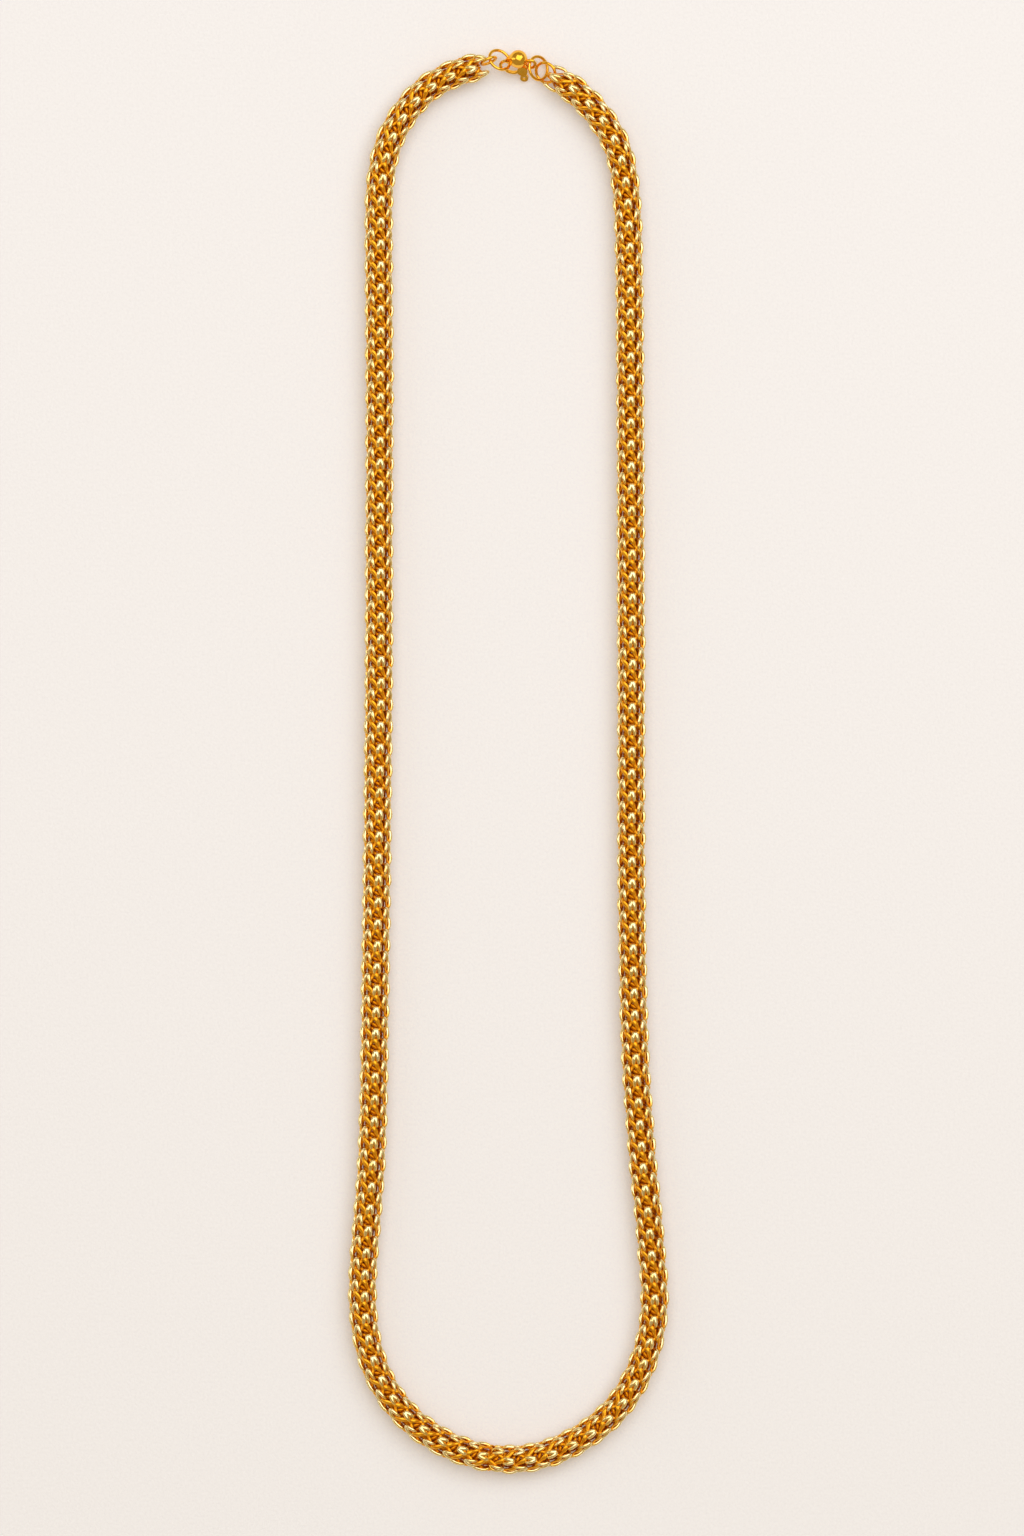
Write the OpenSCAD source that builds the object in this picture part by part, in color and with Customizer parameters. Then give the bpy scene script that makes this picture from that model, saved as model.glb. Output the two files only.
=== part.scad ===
// Long haram necklace: a round woven link chain laid flat as a narrow loop,
// closed at the top by a puffed lobster clasp between plain round rings.
// X runs across the loop, Y along it with the clasp at +Y, Z up from the surface it lies on.

/* [Chain] */
// Diameter of the round woven chain
chain_d = 7.6; // [7.2:0.1:8]
// Sides of the plain tube that holds the chain's space
chain_sides = 12; // [12:4:12]

/* [Rings] */
// Wire of every plain ring
ring_wire_d = 0.76; // [0.7:0.02:0.8]
// Middle-line radius of the ring that the clasp hooks into
left_ring_r = 2.75; // [2.73:0.01:2.77]
// Middle-line radius of the ring in the clasp's eye
clasp_ring_r = 2.87; // [2.85:0.01:2.9]
// Middle-line radius of the link caught in the chain's left end
left_link_r = 1.9; // [1.88:0.01:1.92]
// Middle-line radius of the link caught in the chain's right end
right_link_r = 2.59; // [2.57:0.01:2.6]
// Clear space round an end link inside the chain
channel_gap = 0.2; // [0.15:0.05:0.25]

/* [Clasp] */
// Radius of the clasp's round back
dome_r = 2.25; // [2.2:0.05:2.3]
// Thickness of the hooked nose
nose_d = 0.8; // [0.7:0.05:0.85]
// Radius of the nose's curl
nose_r = 1.45; // [1.4:0.05:1.5]
// Width of the lever across the clasp
lever_w = 0.9; // [0.8:0.05:1]
// Depth of the lever's curved arm
lever_h = 0.7; // [0.6:0.05:0.75]
// Radius of the lever's pin
pin_r = 0.35; // [0.3:0.05:0.4]
// Clear space round the pin in the lever
pin_gap = 0.05; // [0.03:0.01:0.08]
// Clear space round the pin in the cheeks
pin_fit = 0.02; // [0.02:0.01:0.03]
// Width over the two cheeks that hold the pin
cheek_w = 2.9; // [2.7:0.1:3]
// Radius of the cheeks round the pin
cheek_r = 1.3; // [1.2:0.05:1.4]
// Clear space between the lever and the cheeks
slot_gap = 0.15; // [0.1:0.05:0.2]
// Middle-line radius of the clasp's eye
eye_r = 1.15; // [1.1:0.05:1.2]

/* [Hidden] */
gold = "gold";
fine = 48;
wire_r = ring_wire_d / 2;
nose_t = nose_d / 2;
chain_r = chain_d / 2;
corner_r = chain_r / cos(180 / chain_sides);

// The middle line of the chain, from its left end down the left side, round the bottom and up the right
route = [
    [-4.9, 172.1], [-8.4, 171.3], [-11.6, 170.4], [-14.2, 169.4], [-16.6, 168.2], [-18.9, 166.8],
    [-21.0, 165.2], [-23.0, 163.2], [-24.8, 161.0], [-26.4, 158.7], [-27.8, 156.3], [-29.0, 153.8],
    [-30.0, 150.8], [-30.8, 147.4], [-31.4, 143.6], [-31.8, 138.6], [-31.9, 130], [-31.8, 114],
    [-31.7, 95], [-31.7, 75], [-31.8, 55], [-31.8, 35], [-31.9, 16], [-32.1, -4], [-32.3, -24],
    [-32.6, -44], [-32.9, -66], [-33.2, -84], [-33.8, -100], [-34.8, -113], [-35.6, -123],
    [-35.9, -130], [-35.7, -136], [-34.9, -141.8], [-33.5, -147.4], [-31.2, -152.8],
    [-28.0, -157.8], [-24.0, -162.2], [-19.2, -165.9], [-14.0, -168.8], [-8.4, -170.8],
    [-2.8, -171.8], [2.8, -171.9], [8.4, -170.9], [14.0, -168.8], [19.2, -165.9], [24.0, -162.2],
    [28.0, -157.8], [31.2, -152.7], [33.6, -147.2], [35.2, -141.4], [36.0, -135.6], [36.1, -129.6],
    [35.5, -122], [34.7, -112], [33.6, -102], [32.6, -90], [31.7, -78], [31.1, -64], [30.7, -48],
    [30.5, -32], [30.4, -14], [30.4, 6], [30.4, 26], [30.3, 46], [30.3, 66], [30.2, 86],
    [30.1, 104], [29.9, 122], [29.6, 134], [29.0, 142], [28.1, 147.6], [26.7, 152.2],
    [24.6, 156.3], [22.0, 160.0], [18.8, 163.5], [15.4, 166.4], [10.3, 169.5]
];
last = len(route) - 1;

// Places of the rings and links, each as middle point and turns
left_end_link_at = [-4.75, 172.95, 4.45];
left_end_link_turn = [61, 68, -5];
left_ring_at = [-2.05, 173.2, 4.05];
left_ring_turn = [-30, 24, -10];
clasp_ring_at = [7.5, 171.3, 2.8];
clasp_ring_turn = [-8, 38, -10];
right_end_link_at = [9.3, 170.2, 2.8];
right_end_link_turn = [-2, -37, 50];

// The clasp has its own axes: x towards its eye, y towards its back, z across it
clasp_at = [1.45, 172.35, 4.2];
clasp_roll = 45;
clasp_turn = -6;
dome_at = [1.0, 1.45];
curl_at = [-1.8, -1.0];
curl_start = 101;
curl_end = 203;
pin_at = [2.3, -1.2];
lever_arc_at = [-0.1, -0.3];
lever_r = norm(pin_at - lever_arc_at);
lever_tip_angle = 217;
lever_hub_angle = 360 + atan2(pin_at[1] - lever_arc_at[1], pin_at[0] - lever_arc_at[0]);
bar_round = 0.25;
eye_at = [4.1, 0.3];
slot_w = lever_w + 2 * slot_gap;
hub_r = 1.05;
tab_r = 1.0;
tab_hole_r = 0.42;
tab_at = [2.9, -4.1];
tab_w = 0.8;
neck_w = 1.3;

// The dome's taper: a straight cone from the round back to the wire of the nose
horn_end = curl_at + nose_r * [cos(curl_start), sin(curl_start)];
horn_run = norm(horn_end - dome_at);
horn_tilt = atan2(horn_end[1] - dome_at[1], horn_end[0] - dome_at[0]);
taper_sin = (dome_r - nose_t) / horn_run;
taper_cos = sqrt(1 - taper_sin * taper_sin);
taper_start = dome_r * [taper_sin, taper_cos];
taper_end = [horn_run + nose_t * taper_sin, nose_t * taper_cos];

// The ball at each end of the nose's curl is a little thicker than the curl, so their faces don't meet
knuckle_r = nose_t + 0.05;

function flat3(p, z) = [p[0], p[1], z];
function heading(i) =
    i == 0 ? route[1] - route[0]
    : i == last ? route[last] - route[last - 1]
    : (route[i + 1] - route[i]) / norm(route[i + 1] - route[i])
      + (route[i] - route[i - 1]) / norm(route[i] - route[i - 1]);
function side_of(i) = [-heading(i)[1], heading(i)[0]] / norm(heading(i));
function side_angle(k) = (k + 0.5) * 360 / chain_sides;
function tube_ring(i) = [
    for (k = [0 : chain_sides - 1])
        flat3(route[i] + side_of(i) * corner_r * cos(side_angle(k)),
              chain_r + corner_r * sin(side_angle(k)))
];

module chain_tube() {
    points = [for (i = [0 : last]) each tube_ring(i)];
    walls = [
        for (i = [0 : last - 1], k = [0 : chain_sides - 1])
            let (n = (k + 1) % chain_sides, a = i * chain_sides, b = a + chain_sides)
                each [[a + k, b + k, b + n], [a + k, b + n, a + n]]
    ];
    start_cap = [[for (k = [0 : chain_sides - 1]) k]];
    end_cap = [[for (k = [chain_sides - 1 : -1 : 0]) last * chain_sides + k]];
    polyhedron(points = points, faces = concat(walls, start_cap, end_cap));
}

module plain_ring(radius, thickness) {
    rotate_extrude($fn = fine)
        translate([radius, 0])
            circle(r = thickness, $fn = fine);
}

module placed(at, turn) {
    translate(at)
        rotate(turn)
            children();
}

module in_clasp() {
    translate(clasp_at)
        rotate([0, 0, clasp_turn])
            rotate([clasp_roll, 0, 0])
                children();
}

module chain() {
    color(gold)
        difference() {
            chain_tube();
            placed(left_end_link_at, left_end_link_turn)
                plain_ring(left_link_r, wire_r + channel_gap);
            placed(right_end_link_at, right_end_link_turn)
                plain_ring(right_link_r, wire_r + channel_gap);
        }
}

module left_end_link() {
    color(gold)
        placed(left_end_link_at, left_end_link_turn)
            plain_ring(left_link_r, wire_r);
}

module left_ring() {
    color(gold)
        placed(left_ring_at, left_ring_turn)
            plain_ring(left_ring_r, wire_r);
}

module clasp_ring() {
    color(gold)
        placed(clasp_ring_at, clasp_ring_turn)
            plain_ring(clasp_ring_r, wire_r);
}

module right_end_link() {
    color(gold)
        placed(right_end_link_at, right_end_link_turn)
            plain_ring(right_link_r, wire_r);
}

// Half outline of the round back and its taper, turned about its long axis
module dome_half() {
    intersection() {
        circle(r = dome_r, $fn = fine);
        translate([-dome_r, 0])
            square([2 * dome_r, dome_r]);
    }
    polygon([[0, 0], taper_start, taper_end, [taper_end[0], 0]]);
}

module dome() {
    translate(flat3(dome_at, 0))
        rotate([0, 0, horn_tilt])
            rotate([0, 90, 0])
                rotate_extrude($fn = fine)
                    rotate(90)
                        mirror([0, 1])
                            dome_half();
}

module nose() {
    translate(flat3(horn_end, 0))
        sphere(r = knuckle_r, $fn = fine);
    translate(flat3(curl_at, 0))
        rotate([0, 0, curl_start])
            rotate_extrude(angle = curl_end - curl_start, $fn = fine)
                translate([nose_r, 0])
                    circle(r = nose_t, $fn = fine);
    translate(flat3(curl_at + nose_r * [cos(curl_end), sin(curl_end)], 0))
        sphere(r = knuckle_r, $fn = fine);
}

module disc(at, radius, width) {
    translate(flat3(at, 0))
        cylinder(r = radius, h = width, center = true, $fn = fine);
}

module clasp_body() {
    color(gold)
        in_clasp()
            difference() {
                union() {
                    dome();
                    nose();
                    disc(pin_at, cheek_r, cheek_w);
                    translate(flat3(eye_at, 0))
                        plain_ring(eye_r, nose_t);
                }
                disc(pin_at, cheek_r + slot_gap, slot_w);
                disc(pin_at, pin_r + pin_fit, 2 * cheek_w);
            }
}

module rounded_bar(depth, width) {
    square([depth, width - 2 * bar_round], center = true);
    square([depth - 2 * bar_round, width], center = true);
    for (x = [-1, 1], y = [-1, 1])
        translate([x * (depth / 2 - bar_round), y * (width / 2 - bar_round)])
            circle(r = bar_round, $fn = fine);
}

module lever_arm() {
    translate(flat3(lever_arc_at, 0))
        rotate([0, 0, lever_tip_angle])
            rotate_extrude(angle = lever_hub_angle - lever_tip_angle, $fn = fine)
                translate([lever_r, 0])
                    rounded_bar(lever_h, lever_w);
}

module tab_outline() {
    reach = tab_at - pin_at;
    difference() {
        union() {
            translate(tab_at)
                circle(r = tab_r, $fn = fine);
            translate(pin_at)
                rotate(atan2(reach[1], reach[0]))
                    translate([0, -neck_w / 2])
                        square([norm(reach), neck_w]);
        }
        translate(tab_at)
            circle(r = tab_hole_r, $fn = fine);
    }
}

module clasp_lever() {
    color(gold)
        in_clasp()
            difference() {
                union() {
                    lever_arm();
                    disc(pin_at, hub_r, lever_w);
                    linear_extrude(tab_w, center = true)
                        tab_outline();
                }
                disc(pin_at, pin_r + pin_gap, 2 * lever_w);
            }
}

module lever_pin() {
    color(gold)
        in_clasp()
            disc(pin_at, pin_r, cheek_w);
}

chain();
left_end_link();
left_ring();
clasp_body();
clasp_lever();
lever_pin();
clasp_ring();
right_end_link();
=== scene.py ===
import math

import bmesh
import bpy
import numpy as np
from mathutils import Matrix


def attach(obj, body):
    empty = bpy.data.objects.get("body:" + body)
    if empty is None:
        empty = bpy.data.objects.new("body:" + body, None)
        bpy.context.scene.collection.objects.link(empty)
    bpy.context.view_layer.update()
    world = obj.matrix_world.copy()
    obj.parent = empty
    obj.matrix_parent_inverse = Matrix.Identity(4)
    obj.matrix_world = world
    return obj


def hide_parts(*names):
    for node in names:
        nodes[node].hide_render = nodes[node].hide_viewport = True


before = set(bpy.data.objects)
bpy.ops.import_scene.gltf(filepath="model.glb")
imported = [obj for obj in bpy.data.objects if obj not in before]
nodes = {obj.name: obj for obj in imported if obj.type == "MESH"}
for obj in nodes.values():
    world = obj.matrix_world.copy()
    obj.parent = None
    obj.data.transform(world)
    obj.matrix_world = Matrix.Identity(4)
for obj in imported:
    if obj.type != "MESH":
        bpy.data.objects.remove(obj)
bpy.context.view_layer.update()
MM = 0.001

# The necklace's sizes, in millimetres, as the part's source has them
CHAIN_D = 7.6
CHAIN_R = CHAIN_D / 2

# The chain's middle line, seen from above, from its left end down the left side, round and up the right. It
# runs half a millimetre past the tube's two ends, which leaves room for the last caps.
ROUTE = [
    (-4.4, 172.2), (-8.4, 171.3), (-11.6, 170.4), (-14.2, 169.4), (-16.6, 168.2), (-18.9, 166.8),
    (-21.0, 165.2), (-23.0, 163.2), (-24.8, 161.0), (-26.4, 158.7), (-27.8, 156.3), (-29.0, 153.8),
    (-30.0, 150.8), (-30.8, 147.4), (-31.4, 143.6), (-31.8, 138.6), (-31.9, 130), (-31.8, 114),
    (-31.7, 95), (-31.7, 75), (-31.8, 55), (-31.8, 35), (-31.9, 16), (-32.1, -4), (-32.3, -24),
    (-32.6, -44), (-32.9, -66), (-33.2, -84), (-33.8, -100), (-34.8, -113), (-35.6, -123),
    (-35.9, -130), (-35.7, -136), (-34.9, -141.8), (-33.5, -147.4), (-31.2, -152.8),
    (-28.0, -157.8), (-24.0, -162.2), (-19.2, -165.9), (-14.0, -168.8), (-8.4, -170.8),
    (-2.8, -171.8), (2.8, -171.9), (8.4, -170.9), (14.0, -168.8), (19.2, -165.9), (24.0, -162.2),
    (28.0, -157.8), (31.2, -152.7), (33.6, -147.2), (35.2, -141.4), (36.0, -135.6), (36.1, -129.6),
    (35.5, -122), (34.7, -112), (33.6, -102), (32.6, -90), (31.7, -78), (31.1, -64), (30.7, -48),
    (30.5, -32), (30.4, -14), (30.4, 6), (30.4, 26), (30.3, 46), (30.3, 66), (30.2, 86),
    (30.1, 104), (29.9, 122), (29.6, 134), (29.0, 142), (28.1, 147.6), (26.7, 152.2),
    (24.6, 156.3), (22.0, 160.0), (18.8, 163.5), (15.4, 166.4), (9.9, 169.7),
]
ROUTE_STEPS = 8

# The photograph's frame: its middle point, and its height at the chain's own height above the surface
PHOTO_ROWS = 1536
PIXEL = 0.2467
VIEW_MID = (0.99, -1.46)
VIEW_HEIGHT = PHOTO_ROWS * PIXEL
CAMERA_HEIGHT = 1500
SENSOR_HEIGHT = 36

# The weave: rows of eight drop-shaped links, one row a pitch, every second column half a pitch further on.
# Each drop lies over flat strands of two hands and tucks its tail in under a right-hand one, towards a coil
# of flat wires inside. The weave is uneven by UNEVEN millimetres, and turns to and fro by TWIST times a slow
# noise.
PITCH = 5.4
FIRST_ROW = 5.5
CHAIN_LENGTH = 747.7
LEFT_TURN = -0.16
RIGHT_TURN = 0.03
UNEVEN = 0.12
UNEVEN_SCALE = 320.0
TWIST = 0.3
TWIST_SCALE = 14.0
JOIN_DISTANCE = 0.002

# Towards the chain's two ends the drops and the wires under them are drawn in to these shares of their width
GATHERED_LENGTH = 5.0
GATHERED_DROPS = 0.85
GATHERED_STRANDS = 0.3

# A drop's wire: how far out its cap lies, how it rises from there, falls and tucks in at its tail, how far it
# is moved along and widens towards its tail, how it swells at its cap, and how its tone fades to the tail, a
# painted highlight at the cap darkening to painted shade at the tucked-in tail
DROP_STEPS = 20
DROP_SIDES = 8
CAP_OUT = 2.84
RISE = 1.7
FALL = 1.85
TUCK = 0.9
DROP_OUT = 3.1
WIRE_MEAN = 0.95
WIRE_SWELL = 0.42
DROP_SHIFT = 0.1
TAIL_WIDER = 0.45
TAIL_SHADE = 0.3

# Each column's drops: half the length and half the width of the wire's middle line, and how thick the wire
# is. The bold ones face up and down, the slender ones lie between, and the long ones are at the sides.
BOLD = (1.5, 0.55, 1.0)
SLENDER = (1.6, 0.68, 0.82)
LONG = (1.95, 0.6, 0.9)
COLUMNS = (BOLD, SLENDER, LONG, SLENDER, BOLD, SLENDER, LONG, SLENDER)

# The wires under the drops, four of each kind: where one starts, the quarter turns it makes in a pitch, how
# far out it lies, how far it rises and falls, its steps in a pitch, its thickness and its tone, which is
# painted shade, darker the deeper the wire lies. All are rolled flat.
STRAND_SIDES = 6
STRAND_FLAT = 1.5
STRAND_SHADE_TONE = 0.3
WIRES = 4
RIGHT_STRAND = (-1.3, 1, 2.75, 0.27, 12, 0.8, STRAND_SHADE_TONE)
LEFT_STRAND = (0.05, -1, 2.48, 0.2, 12, 0.8, 0.15)
COIL_WIRE = (0.0, 4, 1.75, 0.0, 14, 0.78, 0.0)

# Gold by its tone, from painted shade in the deep hollows to painted highlights on the caps, and the pale
# surface by its grain
GOLD_SHADE_AND_HIGHLIGHT_TONES = [
    (0.0, (0.84, 0.3, 0.005, 1)),
    (0.35, (0.99, 0.465, 0.025, 1)),
    (0.75, (1.0, 0.64, 0.1, 1)),
    (1.0, (1.0, 0.84, 0.44, 1)),
]
SURFACE_TINTS = [
    (0.3, (0.84, 0.845, 0.885, 1)),
    (0.7, (0.9, 0.905, 0.945, 1)),
]
# The surface's own faint glow, painted light that lightens the shadows on it
SURFACE_GLOW = (1.0, 0.9, 0.78, 1)
GLOW_STRENGTH = 0.13
SURFACE_HALF = 2.0

# The fine patterns: wear, roughness and marks on gold, and grain on paper, with the heights in metres
WEAR_SCALE = 700.0
WEAR = 0.12
ROUGH_SCALE = 1500.0
ROUGH_LOW = 0.08
ROUGH_HIGH = 0.18
MARK_SCALE = 4000.0
MARK_HEIGHT = 0.00004
GRAIN_SCALE = 1600.0
GRAIN_HEIGHT = 0.0002

# Each light: its place and its size in metres, its power and its colour
LIGHTS = {
    "window": ((0.8, 0.7, 0.9), (0.6, 0.6), 1.6, (0.88, 0.92, 1.0)),
    "left_panel": ((-1.2, 0.2, 0.6), (0.4, 1.2), 2, (0.88, 0.92, 1.0)),
    "overhead": ((0.25, 0.5, 1.8), (2.4, 2.0), 24, (0.91, 0.94, 1.0)),
}
ROOM_COLOUR = (1.0, 0.82, 0.55, 1)
ROOM_STRENGTH = 0.41


def in_scene(obj):
    bpy.context.scene.collection.objects.link(obj)
    return obj


def drop_line(length, width, wire):
    """The closed middle line of one drop, its thickness and its tone, from its bold cap round to its tail."""
    turn = np.linspace(0, 2 * math.pi, DROP_STEPS, endpoint=False)
    tail = (1 - np.cos(turn)) / 2
    along = length * np.cos(turn) + DROP_SHIFT
    sideways = width * np.sin(turn) * (1 - TAIL_WIDER * np.cos(turn))
    out = CAP_OUT + RISE * tail - FALL * tail ** 2 - TUCK * tail ** 6
    angle = sideways / DROP_OUT
    thickness = wire * (WIRE_MEAN + WIRE_SWELL * np.cos(turn))
    # The tone paints a highlight on the cap and shade towards the tail that tucks in under the strands
    tone = 1.0 - TAIL_SHADE * tail ** 1.5
    return np.stack([along, out * np.sin(angle), out * np.cos(angle)], axis=1), thickness, tone


def strand_line(start, angle, quarters, out, wave, steps):
    """One pitch of a wire that runs round the chain as it goes, with one step more at each end."""
    along = np.arange(-1, steps + 2) * PITCH / steps - PITCH / 2
    angle = angle + quarters * math.pi / 2 * (along - start) / PITCH
    out = out + wave * np.cos(4 * math.pi * (along - start) / PITCH)
    return np.stack([along, out * np.sin(angle), out * np.cos(angle)], axis=1)


def tube(line, thickness, sides, closed, flat=1.0):
    """A wire along a line, closed or without the end steps, round or rolled flat: its points and faces."""
    if closed:
        ahead = np.roll(line, -1, axis=0) - np.roll(line, 1, axis=0)
    else:
        ahead = line[2:] - line[:-2]
        line = line[1:-1]
    ahead /= np.linalg.norm(ahead, axis=1)[:, None]
    outward = line - line.mean(axis=0) if closed else line * np.array([0, 1, 1])
    outward -= (outward * ahead).sum(axis=1)[:, None] * ahead
    outward /= np.linalg.norm(outward, axis=1)[:, None]
    across = np.cross(ahead, outward)
    half = np.broadcast_to(np.asarray(thickness, float), len(line))[:, None] / 2
    rings = []
    for i in range(sides):
        angle = 2 * math.pi * i / sides
        rings.append(line + half * (math.cos(angle) * outward / flat + math.sin(angle) * across * flat))
    points = np.stack(rings, axis=1).reshape(-1, 3)
    faces = []
    for i in range(len(line) if closed else len(line) - 1):
        j = (i + 1) % len(line)
        for k in range(sides):
            n = (k + 1) % sides
            faces.append((i * sides + k, i * sides + n, j * sides + n, j * sides + k))
    return points, np.array(faces)


def drop(column, shape, odd_place):
    """One drop in its column: its points, faces and tones."""
    line, thickness, tone = drop_line(*shape)
    points, faces = tube(line, thickness, DROP_SIDES, True)
    angle = 2 * math.pi * column / len(COLUMNS)
    x = points[:, 0] + (odd_place if column % 2 else 0)
    y = points[:, 1] * math.cos(angle) + points[:, 2] * math.sin(angle)
    z = points[:, 2] * math.cos(angle) - points[:, 1] * math.sin(angle)
    return np.stack([x, y, z], axis=1), faces, np.repeat(tone, DROP_SIDES)


def strand(k, start, quarters, out, wave, steps, wire, tone):
    """One of the wires under the drops: its points, faces and tones."""
    line = strand_line(start, k * math.pi / 2, quarters, out, wave, steps)
    points, faces = tube(line, wire, STRAND_SIDES, False, STRAND_FLAT)
    # Each wire carries one tone: painted shade, darker the deeper it lies
    return points, faces, np.full(len(points), tone)


def weave_cell(name, odd_place):
    """One pitch of the weave: eight drops, the strands that cross under them, and the coil."""
    parts = [drop(column, shape, odd_place) for column, shape in enumerate(COLUMNS)]
    for k in range(WIRES):
        parts.append(strand(k, *RIGHT_STRAND))
        parts.append(strand(k, *LEFT_STRAND))
    for k in range(WIRES):
        parts.append(strand(k, *COIL_WIRE))
    starts = np.cumsum([0] + [len(part[0]) for part in parts])
    mesh = bpy.data.meshes.new(name)
    faces = np.concatenate([part[1] + start for part, start in zip(parts, starts)])
    mesh.from_pydata((np.concatenate([part[0] for part in parts]) * MM).tolist(), [], faces.tolist())
    # Each point's tone, which the gold turns into painted shade in the hollows and painted highlights on the
    # caps
    tones = np.concatenate([part[2] for part in parts])
    mesh.attributes.new("tone", "FLOAT", "POINT").data.foreach_set("value", tones)
    mesh.update()
    return in_scene(bpy.data.objects.new(name, mesh))


def chain_route():
    curve = bpy.data.curves.new("chain_route", "CURVE")
    curve.dimensions = "3D"
    spline = curve.splines.new("BEZIER")
    spline.bezier_points.add(len(ROUTE) - 1)
    for point, (x, y) in zip(spline.bezier_points, ROUTE):
        point.co = (x * MM, y * MM, CHAIN_R * MM)
        point.handle_left_type = "AUTO"
        point.handle_right_type = "AUTO"
    spline.resolution_u = ROUTE_STEPS
    return in_scene(bpy.data.objects.new("chain_route", curve))


def weave_tree():
    """Rows of one cell along a line, a little uneven and slowly twisting, bent round the route."""
    tree = bpy.data.node_groups.new("chain_weave", "GeometryNodeTree")
    inputs = [
        ("Route", "Geometry"), ("Cell", "Object"), ("Rows", "Int"), ("Pitch", "Float"),
        ("First row", "Float"), ("Heading", "Vector"), ("Uneven", "Float"), ("Turn", "Float"),
        ("Twist", "Float"), ("End place", "Float"), ("Gathered length", "Float"),
        ("Gathered drops", "Float"), ("Gathered strands", "Float"), ("Metal", "Material"),
    ]
    for name, kind in inputs:
        tree.interface.new_socket(name, in_out="INPUT", socket_type="NodeSocket" + kind)
    tree.interface.new_socket("Chain", in_out="OUTPUT", socket_type="NodeSocketGeometry")
    new, link = tree.nodes.new, tree.links.new
    given = new("NodeGroupInput").outputs

    def feed(value, socket):
        if isinstance(value, (float, tuple)):
            socket.default_value = value
        else:
            link(value, socket)

    def maths(operation, first, second):
        node = new("ShaderNodeMath")
        node.operation = operation
        feed(first, node.inputs[0])
        feed(second, node.inputs[1])
        return node.outputs[0]

    def vector_maths(operation, first, second):
        node = new("ShaderNodeVectorMath")
        node.operation = operation
        feed(first, node.inputs[0])
        feed(second, node.inputs["Scale"] if operation == "SCALE" else node.inputs[1])
        return node.outputs[0]

    def joined_up(x=0.0, y=0.0, z=0.0):
        node = new("ShaderNodeCombineXYZ")
        for value, socket in zip((x, y, z), node.inputs):
            feed(value, socket)
        return node.outputs[0]

    def taken_apart(vector):
        node = new("ShaderNodeSeparateXYZ")
        link(vector, node.inputs[0])
        return node.outputs

    def noise(scale, place):
        node = new("ShaderNodeTexNoise")
        node.inputs["Scale"].default_value = scale
        node.inputs["Detail"].default_value = 0.0
        link(place, node.inputs["Vector"])
        return node.outputs["Color"]

    # The rows stand along X, each cell a pitch after the last, and the strands' ends meet
    cell = new("GeometryNodeObjectInfo")
    link(given["Cell"], cell.inputs["Object"])
    rows = new("GeometryNodeMeshLine")
    rows.mode = "OFFSET"
    link(given["Rows"], rows.inputs["Count"])
    link(joined_up(x=given["Pitch"]), rows.inputs["Offset"])
    link(joined_up(x=given["First row"]), rows.inputs["Start Location"])
    place = new("GeometryNodeInstanceOnPoints")
    link(rows.outputs["Mesh"], place.inputs["Points"])
    link(cell.outputs["Geometry"], place.inputs["Instance"])
    link(given["Heading"], place.inputs["Rotation"])
    real = new("GeometryNodeRealizeInstances")
    link(place.outputs["Instances"], real.inputs["Geometry"])
    joined = new("GeometryNodeMergeByDistance")
    joined.inputs["Distance"].default_value = JOIN_DISTANCE * MM
    link(real.outputs["Geometry"], joined.inputs["Geometry"])

    # Small shifts make it uneven, and a slow noise along it turns it to and fro
    here = new("GeometryNodeInputPosition").outputs[0]
    along = taken_apart(here)["X"]
    shift = vector_maths("SUBTRACT", noise(UNEVEN_SCALE, here), (0.5, 0.5, 0.5))
    loose = vector_maths("ADD", here, vector_maths("SCALE", shift, given["Uneven"]))
    sway = taken_apart(noise(TWIST_SCALE, joined_up(x=along)))["X"]
    swing = maths("MULTIPLY", maths("SUBTRACT", sway, 0.5), given["Twist"])
    twist = new("ShaderNodeVectorRotate")
    twist.rotation_type = "X_AXIS"
    link(loose, twist.inputs["Vector"])
    link(maths("ADD", swing, given["Turn"]), twist.inputs["Angle"])

    # Near the nearest end it is drawn in, the wires under the drops more than the drops, told apart by tone
    nearest = maths("MINIMUM", maths("SUBTRACT", given["End place"], along), along)
    tone = new("GeometryNodeInputNamedAttribute")
    tone.inputs["Name"].default_value = "tone"
    narrow = new("ShaderNodeMapRange")
    link(tone.outputs["Attribute"], narrow.inputs["Value"])
    narrow.inputs["From Min"].default_value = STRAND_SHADE_TONE
    narrow.inputs["From Max"].default_value = STRAND_SHADE_TONE + 0.1
    link(given["Gathered strands"], narrow.inputs["To Min"])
    link(given["Gathered drops"], narrow.inputs["To Max"])
    gather = new("ShaderNodeMapRange")
    gather.interpolation_type = "SMOOTHSTEP"
    link(nearest, gather.inputs["Value"])
    link(given["Gathered length"], gather.inputs["From Max"])
    link(narrow.outputs["Result"], gather.inputs["To Min"])
    width = gather.outputs["Result"]
    drawn_in = taken_apart(vector_maths("MULTIPLY", twist.outputs[0], joined_up(1.0, width, width)))

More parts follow.
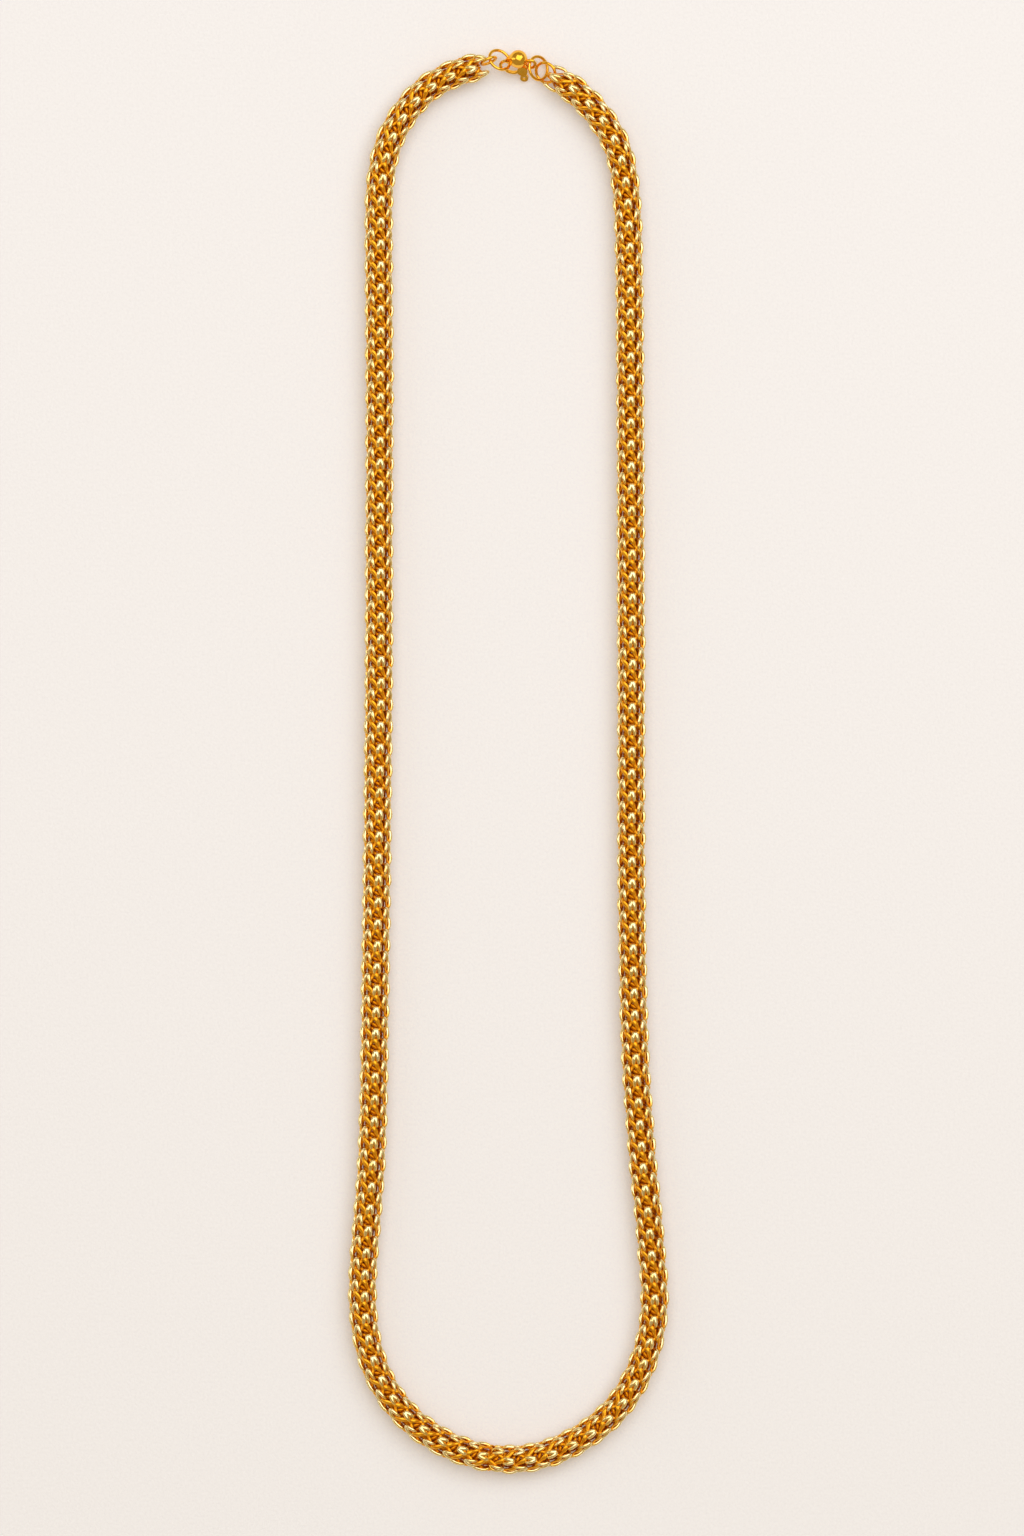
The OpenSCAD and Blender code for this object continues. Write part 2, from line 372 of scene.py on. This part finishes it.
    # X becomes the length along the route, Y the way to its side, and Z stays up
    sample = new("GeometryNodeSampleCurve")
    sample.mode = "LENGTH"
    sample.use_all_curves = True
    link(given["Route"], sample.inputs["Curves"])
    link(drawn_in["X"], sample.inputs["Length"])
    side = vector_maths("CROSS_PRODUCT", (0.0, 0.0, 1.0), sample.outputs["Tangent"])
    offset = vector_maths("ADD", vector_maths("SCALE", side, drawn_in["Y"]), joined_up(z=drawn_in["Z"]))
    bend = new("GeometryNodeSetPosition")
    link(joined.outputs["Geometry"], bend.inputs["Geometry"])
    link(vector_maths("ADD", sample.outputs["Position"], offset), bend.inputs["Position"])
    smooth = new("GeometryNodeSetShadeSmooth")
    link(bend.outputs["Geometry"], smooth.inputs["Geometry"])
    metal = new("GeometryNodeSetMaterial")
    link(smooth.outputs["Geometry"], metal.inputs["Geometry"])
    link(given["Metal"], metal.inputs["Material"])
    link(metal.outputs["Geometry"], new("NodeGroupOutput").inputs["Chain"])
    return tree


def close_ends(mesh):
    """Flat, sharp-edged ends on the strands, so that each piece is closed."""
    work = bmesh.new()
    work.from_mesh(mesh)
    rims = [edge for edge in work.edges if edge.is_boundary]
    made = bmesh.ops.holes_fill(work, edges=rims, sides=0)["faces"]
    for face in made:
        face.smooth = False
        for edge in face.edges:
            edge.smooth = False
    work.to_mesh(mesh)
    work.free()


def woven_piece(name, tree, route, cell, first_row, rows, heading, turn, metal):
    holder = in_scene(bpy.data.objects.new(name + "_route", route.data))
    modifier = holder.modifiers.new("weave", "NODES")
    modifier.node_group = tree
    sockets = {s.name: s.identifier for s in tree.interface.items_tree if s.in_out == "INPUT"}
    values = {
        "Cell": cell,
        "Rows": rows,
        "Pitch": PITCH * MM,
        "First row": first_row * MM,
        "Heading": (0.0, 0.0, heading),
        "Uneven": UNEVEN * MM,
        "Turn": turn,
        "Twist": TWIST,
        "End place": CHAIN_LENGTH * MM,
        "Gathered length": GATHERED_LENGTH * MM,
        "Gathered drops": GATHERED_DROPS,
        "Gathered strands": GATHERED_STRANDS,
        "Metal": metal,
    }
    for label, value in values.items():
        modifier[sockets[label]] = value
    bpy.context.view_layer.update()
    graph = bpy.context.evaluated_depsgraph_get()
    shown = holder.evaluated_get(graph)
    mesh = bpy.data.meshes.new_from_object(shown, preserve_all_data_layers=True, depsgraph=graph)
    mesh.name = name
    holder.modifiers.remove(modifier)
    bpy.data.objects.remove(holder)
    close_ends(mesh)
    return in_scene(bpy.data.objects.new(name, mesh))


def new_material(name):
    material = bpy.data.materials.new(name)
    material.use_nodes = True
    return material, material.node_tree, material.node_tree.nodes["Principled BSDF"]


def colour_ramp(tree, stops, value):
    """A colour ramp of two or more stops, each a place and a colour."""
    node = tree.nodes.new("ShaderNodeValToRGB")
    elements = node.color_ramp.elements
    for i, (place, colour) in enumerate(stops):
        element = elements[i] if i < 2 else elements.new(place)
        element.position = place
        element.color = colour
    tree.links.new(value, node.inputs["Fac"])
    return node.outputs["Color"]


def noise_texture(tree, scale, detail, where):
    texture = tree.nodes.new("ShaderNodeTexNoise")
    texture.inputs["Scale"].default_value = scale
    texture.inputs["Detail"].default_value = detail
    tree.links.new(where, texture.inputs["Vector"])
    return texture.outputs["Fac"]


def add_relief(tree, shader, height, strength, distance):
    relief = tree.nodes.new("ShaderNodeBump")
    relief.inputs["Strength"].default_value = strength
    relief.inputs["Distance"].default_value = distance
    tree.links.new(height, relief.inputs["Height"])
    tree.links.new(relief.outputs["Normal"], shader.inputs["Normal"])


def gold_look():
    """Gold painted deep amber in its hollows as shade and pale on its caps as a highlight, with faint random
    rubbed patches and fine marks.
    """
    group = bpy.data.node_groups.new("gold_look", "ShaderNodeTree")
    sockets = [
        ("Tone", "INPUT", "Float"), ("Dull", "INPUT", "Float"), ("Coordinates", "INPUT", "Vector"),
        ("Colour", "OUTPUT", "Color"), ("Roughness", "OUTPUT", "Float"), ("Height", "OUTPUT", "Float"),
    ]
    for name, way, kind in sockets:
        group.interface.new_socket(name, in_out=way, socket_type="NodeSocket" + kind)
    new, link = group.nodes.new, group.links.new
    given = new("NodeGroupInput").outputs
    result = new("NodeGroupOutput").inputs

    def noise_between(scale, detail, low, high):
        span = new("ShaderNodeMapRange")
        span.inputs["From Min"].default_value = 0.3
        span.inputs["From Max"].default_value = 0.7
        span.inputs["To Min"].default_value = low
        span.inputs["To Max"].default_value = high
        link(noise_texture(group, scale, detail, given["Coordinates"]), span.inputs["Value"])
        return span.outputs["Result"]

    def total(first, second):
        node = new("ShaderNodeMath")
        link(first, node.inputs[0])
        link(second, node.inputs[1])
        return node.outputs[0]

    # The tone's painted shade and highlight, with a faint random rubbed mottle added to it
    painted_light_and_wear = total(given["Tone"], noise_between(WEAR_SCALE, 2.0, -WEAR, WEAR))
    link(colour_ramp(group, GOLD_SHADE_AND_HIGHLIGHT_TONES, painted_light_and_wear), result["Colour"])
    dull = new("ShaderNodeMapRange")
    link(given["Dull"], dull.inputs["To Min"])
    dull.inputs["To Max"].default_value = 0.0
    link(given["Tone"], dull.inputs["Value"])
    rough = noise_between(ROUGH_SCALE, 3.0, ROUGH_LOW, ROUGH_HIGH)
    link(total(rough, dull.outputs["Result"]), result["Roughness"])
    link(noise_texture(group, MARK_SCALE, 3.0, given["Coordinates"]), result["Height"])
    return group


def gold(name, group, tone, dull, bump):
    """Gold of one tone, or of the tone that the mesh gives each point."""
    material, tree, shader = new_material(name)
    shader.inputs["Metallic"].default_value = 1.0
    new, link = tree.nodes.new, tree.links.new
    look = new("ShaderNodeGroup")
    look.node_tree = group
    look.inputs["Dull"].default_value = dull
    link(new("ShaderNodeTexCoord").outputs["Object"], look.inputs["Coordinates"])
    if tone is None:
        # The mesh's tone paints shade in the hollows and highlights on the caps
        painted_light_tone = new("ShaderNodeAttribute")
        painted_light_tone.attribute_name = "tone"
        link(painted_light_tone.outputs["Fac"], look.inputs["Tone"])
    else:
        look.inputs["Tone"].default_value = tone
    link(look.outputs["Colour"], shader.inputs["Base Color"])
    link(look.outputs["Roughness"], shader.inputs["Roughness"])
    add_relief(tree, shader, look.outputs["Height"], bump, MARK_HEIGHT)
    return material


def surface_material():
    """Pale paper: a matte cream with a faint grain and a faint glow, which keeps the shadows soft."""
    material, tree, shader = new_material("surface")
    shader.inputs["Roughness"].default_value = 0.95
    shader.inputs["Emission Color"].default_value = SURFACE_GLOW
    shader.inputs["Emission Strength"].default_value = GLOW_STRENGTH
    where = tree.nodes.new("ShaderNodeTexCoord").outputs["Object"]
    grain = noise_texture(tree, GRAIN_SCALE, 4.0, where)
    tree.links.new(colour_ramp(tree, SURFACE_TINTS, grain), shader.inputs["Base Color"])
    add_relief(tree, shader, grain, 0.4, GRAIN_HEIGHT)
    return material


look = gold_look()
WOVEN = gold("woven_gold", look, None, 0.3, 0.3)
POLISHED = gold("polished_gold", look, 0.5, 0.04, 0.03)
for name in nodes:
    for slot in nodes[name].material_slots:
        slot.material = POLISHED

route = chain_route()
weave = weave_tree()
left_cell = weave_cell("left_cell", PITCH / 2)
right_cell = weave_cell("right_cell", -PITCH / 2)
# Each section's name, its first row, how many rows it has, its cell, and how that is headed and turned. The
# drops' caps point up on both sides, so the left side's rows are turned about.
sections = [
    ("chain_left_top", 0, 35, left_cell, math.pi, LEFT_TURN),
    ("chain_left_low", 35, 34, left_cell, math.pi, LEFT_TURN),
    ("chain_right_low", 69, 34, right_cell, 0.0, RIGHT_TURN),
    ("chain_right_top", 103, 35, right_cell, 0.0, RIGHT_TURN),
]
pieces = []
for name, row, rows, cell, heading, turn in sections:
    first_row = FIRST_ROW + row * PITCH
    pieces.append(woven_piece(name, weave, route, cell, first_row, rows, heading, turn, WOVEN))
for helper in (left_cell, right_cell, route):
    bpy.data.objects.remove(helper)
for piece in pieces:
    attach(piece, "necklace")
    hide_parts("chain")


def area_light(name, place, size, power, colour):
    data = bpy.data.lights.new(name, "AREA")
    data.shape = "RECTANGLE"
    data.size, data.size_y = size
    data.energy = power
    data.color = colour
    light = in_scene(bpy.data.objects.new(name, data))
    light.location = place
    aim = -light.location.normalized()
    light.rotation_euler = aim.to_track_quat("-Z", "Y").to_euler()


def studio():
    mesh = bpy.data.meshes.new("surface")
    half = SURFACE_HALF
    corners = [(-half, -half, 0), (half, -half, 0), (half, half, 0), (-half, half, 0)]
    mesh.from_pydata(corners, [], [(0, 1, 2, 3)])
    mesh.materials.append(surface_material())
    floor = in_scene(bpy.data.objects.new("surface", mesh))
    for name, values in LIGHTS.items():
        area_light(name, *values)
    world = bpy.data.worlds.new("room")
    world.use_nodes = True
    background = world.node_tree.nodes["Background"]
    background.inputs["Color"].default_value = ROOM_COLOUR
    background.inputs["Strength"].default_value = ROOM_STRENGTH
    bpy.context.scene.world = world


def camera():
    """Straight above the photograph's middle point, so that its frame is filled at the chain's height."""
    data = bpy.data.cameras.new("camera")
    data.sensor_fit = "VERTICAL"
    data.sensor_height = SENSOR_HEIGHT
    data.lens = SENSOR_HEIGHT * (CAMERA_HEIGHT - CHAIN_R) / VIEW_HEIGHT
    data.clip_end = 10
    view = in_scene(bpy.data.objects.new("camera", data))
    view.location = (VIEW_MID[0] * MM, VIEW_MID[1] * MM, CAMERA_HEIGHT * MM)
    bpy.context.scene.camera = view


studio()
camera()

bpy.context.scene.view_settings.view_transform = "Standard"
